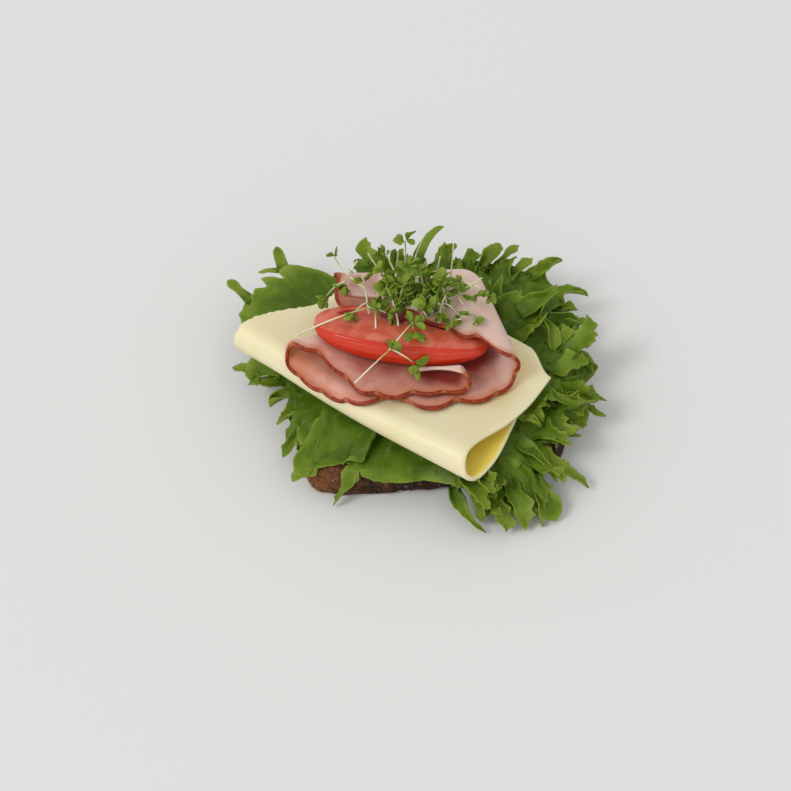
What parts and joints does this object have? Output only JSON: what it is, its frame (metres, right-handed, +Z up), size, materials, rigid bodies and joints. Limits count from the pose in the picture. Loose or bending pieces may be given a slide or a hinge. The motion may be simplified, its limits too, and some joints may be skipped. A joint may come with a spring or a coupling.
{
  "type": "open sandwich",
  "caption": "Open sandwich on dark rye bread with frilled lettuce, a folded slice of cheese, folded smoked ham, a tomato wedge and a tuft of cress.",
  "frame": {"origin": "on the bread's flat underside, within 1 mm of its middle, on the surface that the sandwich stands on", "axes": "+Z up, +X along the sandwich's longest side, to the right as seen from the front; -Y to the front"},
  "size_m": [0.1341, 0.116, 0.0614],
  "materials": {
    "bread": "matte",
    "lettuce": "satin",
    "cheese": "satin",
    "ham": "satin",
    "tomato": "gloss",
    "cress": "satin"
  },
  "bodies": {
    "root": {"bread": "bread", "lettuce_back": "lettuce", "lettuce_back_left": "lettuce", "lettuce_left": "lettuce", "lettuce_front": "lettuce", "lettuce_front_right": "lettuce", "lettuce_right_front": "lettuce", "lettuce_right": "lettuce", "lettuce_back_right": "lettuce", "lettuce_right_upper": "lettuce", "lettuce_front_upper": "lettuce", "lettuce_front_left": "lettuce", "cheese": "cheese", "ham_left": "ham", "ham_right": "ham", "ham_back": "ham", "tomato": "tomato", "cress": "cress"}
  },
  "joints": []
}
